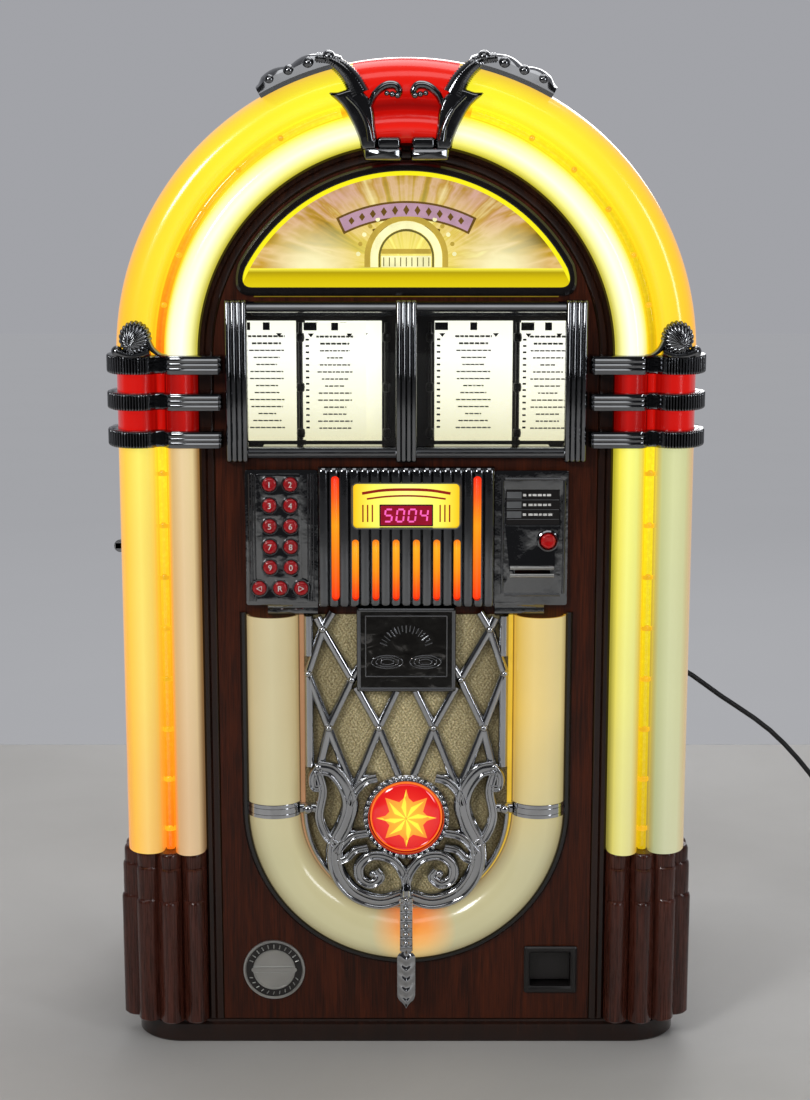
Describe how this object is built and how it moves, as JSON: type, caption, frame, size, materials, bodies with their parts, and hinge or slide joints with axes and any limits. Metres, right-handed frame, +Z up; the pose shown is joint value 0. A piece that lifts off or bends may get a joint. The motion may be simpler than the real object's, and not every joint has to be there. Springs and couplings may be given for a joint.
{
  "type": "jukebox",
  "caption": "Floor-standing round-topped CD jukebox with lit columns and arch, page-flip title window, keypad, lit display and a chrome speaker grille in a U-shaped light.",
  "frame": {"origin": "on the floor, under the middle of the cabinet's bounding box", "axes": "+Z up, the lit front faces -Y, +X is the viewer's right when facing the front"},
  "size_m": [1.29, 0.5911, 1.2834],
  "materials": {
    "art": "back-lit printed panel",
    "backlight": "orange lit diffuser",
    "black_plastic": "moulded black plastic",
    "bubble_glass": "liquid-filled glass tube",
    "button_red": "dark red moulded plastic",
    "cabinet_wood": "satin dark walnut veneer",
    "chrome": "bright plated zinc casting",
    "cloth": "gold brocade speaker cloth",
    "cord_rubber": "matt black sheath",
    "dark_frame": "glossy near-black lacquer",
    "glass": "clear flat sheet",
    "lamp_amber": "translucent moulded plastic lit from behind",
    "lamp_cream": "translucent cream plastic lit from behind",
    "lamp_red": "translucent red plastic lit from behind",
    "paper": "white printed card",
    "pilaster_wood": "glossy mid-brown walnut grain",
    "plywood": "plain board",
    "steel": "grey sheet steel",
    "tinted_film": "rolled colour-striped film",
    "walnut": "satin dark red-brown walnut veneer"
  },
  "bodies": {
    "cabinet": {"plinth": "dark_frame", "cabinet_shell": "cabinet_wood", "rear_panel": "plywood", "door_hinge": "steel", "cd_player": "steel", "amplifier": "steel", "cord_gland": "black_plastic", "power_cord": "cord_rubber", "power_cord_coil": "cord_rubber", "power_plug": "black_plastic"},
    "front_door": {"front_frame": "dark_frame", "front_panel": "walnut", "crown_plastic": "lamp_red", "arch_window": "art", "title_frame": "chrome", "title_glass": "glass", "title_box": "black_plastic", "keypad_plate": "chrome", "display_casting": "chrome", "display_backlight": "backlight", "coin_plate": "chrome", "u_light_tube": "lamp_cream", "speaker_cloth": "cloth", "grille_lattice": "chrome", "medallion_lens": "lamp_red", "coin_return_cup": "black_plastic", "woofer": "black_plastic", "pilaster_base_left": "pilaster_wood", "pilaster_plastic_left": "lamp_amber", "arch_plastic_left": "lamp_amber", "collar_plastic_left": "lamp_red", "collar_casting_left": "chrome", "crown_clasp_left": "chrome", "bubble_tube_left": "bubble_glass", "pilaster_base_right": "pilaster_wood", "pilaster_plastic_right": "lamp_amber", "arch_plastic_right": "lamp_amber", "collar_plastic_right": "lamp_red", "collar_casting_right": "chrome", "crown_clasp_right": "chrome", "bubble_tube_right": "bubble_glass"},
    "disc_magazine": {"cd_magazine": "black_plastic"},
    "colour_cylinder_left": {"colour_cylinder_left": "tinted_film"},
    "colour_cylinder_right": {"colour_cylinder_right": "tinted_film"},
    "title_leaf_left": {"title_leaf_left": "paper"},
    "title_leaf_right": {"title_leaf_right": "paper"},
    "key_0": {"key_0": "button_red"},
    "key_1": {"key_1": "button_red"},
    "key_2": {"key_2": "button_red"},
    "key_3": {"key_3": "button_red"},
    "key_4": {"key_4": "button_red"},
    "key_5": {"key_5": "button_red"},
    "key_6": {"key_6": "button_red"},
    "key_7": {"key_7": "button_red"},
    "key_8": {"key_8": "button_red"},
    "key_9": {"key_9": "button_red"},
    "key_left": {"key_left": "button_red"},
    "key_reset": {"key_reset": "button_red"},
    "key_right": {"key_right": "button_red"},
    "coin_reject_button": {"coin_reject_button": "button_red"}
  },
  "joints": [
    {"name": "front_door_swing", "type": "hinge", "parent": "cabinet", "child": "front_door", "pos_m": [0.358, -0.15, 0.45], "axis": [0, 0, 1], "range_deg": [0, 100]},
    {"name": "disc_magazine_turn", "type": "hinge", "parent": "cabinet", "child": "disc_magazine", "pos_m": [-0.06, 0.06, 0.7], "axis": [0, 0, 1], "continuous": true},
    {"name": "colour_cylinder_left_turn", "type": "hinge", "parent": "front_door", "child": "colour_cylinder_left", "pos_m": [-0.341, -0.188, 0.5], "axis": [0, 0, 1], "continuous": true},
    {"name": "colour_cylinder_right_turn", "type": "hinge", "parent": "front_door", "child": "colour_cylinder_right", "pos_m": [0.341, -0.188, 0.5], "axis": [0, 0, 1], "continuous": true},
    {"name": "title_leaf_left_turn", "type": "hinge", "parent": "front_door", "child": "title_leaf_left", "pos_m": [-0.138, -0.1305, 0.87], "axis": [0, 0, -1], "range_deg": [0, 165]},
    {"name": "title_leaf_right_turn", "type": "hinge", "parent": "front_door", "child": "title_leaf_right", "pos_m": [0.145, -0.1305, 0.87], "axis": [0, 0, -1], "range_deg": [0, 165]},
    {"name": "key_0_press", "type": "slide", "parent": "front_door", "child": "key_0", "axis": [0, 1, 0], "range_m": [0, 0.003], "stiffness_N_per_m": 150, "springref_m": -0.001},
    {"name": "key_1_press", "type": "slide", "parent": "front_door", "child": "key_1", "axis": [0, 1, 0], "range_m": [0, 0.003], "stiffness_N_per_m": 150, "springref_m": -0.001},
    {"name": "key_2_press", "type": "slide", "parent": "front_door", "child": "key_2", "axis": [0, 1, 0], "range_m": [0, 0.003], "stiffness_N_per_m": 150, "springref_m": -0.001},
    {"name": "key_3_press", "type": "slide", "parent": "front_door", "child": "key_3", "axis": [0, 1, 0], "range_m": [0, 0.003], "stiffness_N_per_m": 150, "springref_m": -0.001},
    {"name": "key_4_press", "type": "slide", "parent": "front_door", "child": "key_4", "axis": [0, 1, 0], "range_m": [0, 0.003], "stiffness_N_per_m": 150, "springref_m": -0.001},
    {"name": "key_5_press", "type": "slide", "parent": "front_door", "child": "key_5", "axis": [0, 1, 0], "range_m": [0, 0.003], "stiffness_N_per_m": 150, "springref_m": -0.001},
    {"name": "key_6_press", "type": "slide", "parent": "front_door", "child": "key_6", "axis": [0, 1, 0], "range_m": [0, 0.003], "stiffness_N_per_m": 150, "springref_m": -0.001},
    {"name": "key_7_press", "type": "slide", "parent": "front_door", "child": "key_7", "axis": [0, 1, 0], "range_m": [0, 0.003], "stiffness_N_per_m": 150, "springref_m": -0.001},
    {"name": "key_8_press", "type": "slide", "parent": "front_door", "child": "key_8", "axis": [0, 1, 0], "range_m": [0, 0.003], "stiffness_N_per_m": 150, "springref_m": -0.001},
    {"name": "key_9_press", "type": "slide", "parent": "front_door", "child": "key_9", "axis": [0, 1, 0], "range_m": [0, 0.003], "stiffness_N_per_m": 150, "springref_m": -0.001},
    {"name": "key_left_press", "type": "slide", "parent": "front_door", "child": "key_left", "axis": [0, 1, 0], "range_m": [0, 0.003], "stiffness_N_per_m": 150, "springref_m": -0.001},
    {"name": "key_reset_press", "type": "slide", "parent": "front_door", "child": "key_reset", "axis": [0, 1, 0], "range_m": [0, 0.003], "stiffness_N_per_m": 150, "springref_m": -0.001},
    {"name": "key_right_press", "type": "slide", "parent": "front_door", "child": "key_right", "axis": [0, 1, 0], "range_m": [0, 0.003], "stiffness_N_per_m": 150, "springref_m": -0.001},
    {"name": "coin_reject_button_press", "type": "slide", "parent": "front_door", "child": "coin_reject_button", "axis": [0, 1, 0], "range_m": [0, 0.003], "stiffness_N_per_m": 150, "springref_m": -0.001}
  ],
  "couplings": [
    {"joint": "title_leaf_right_turn", "follows": "title_leaf_left_turn", "ratio": 1}
  ]
}
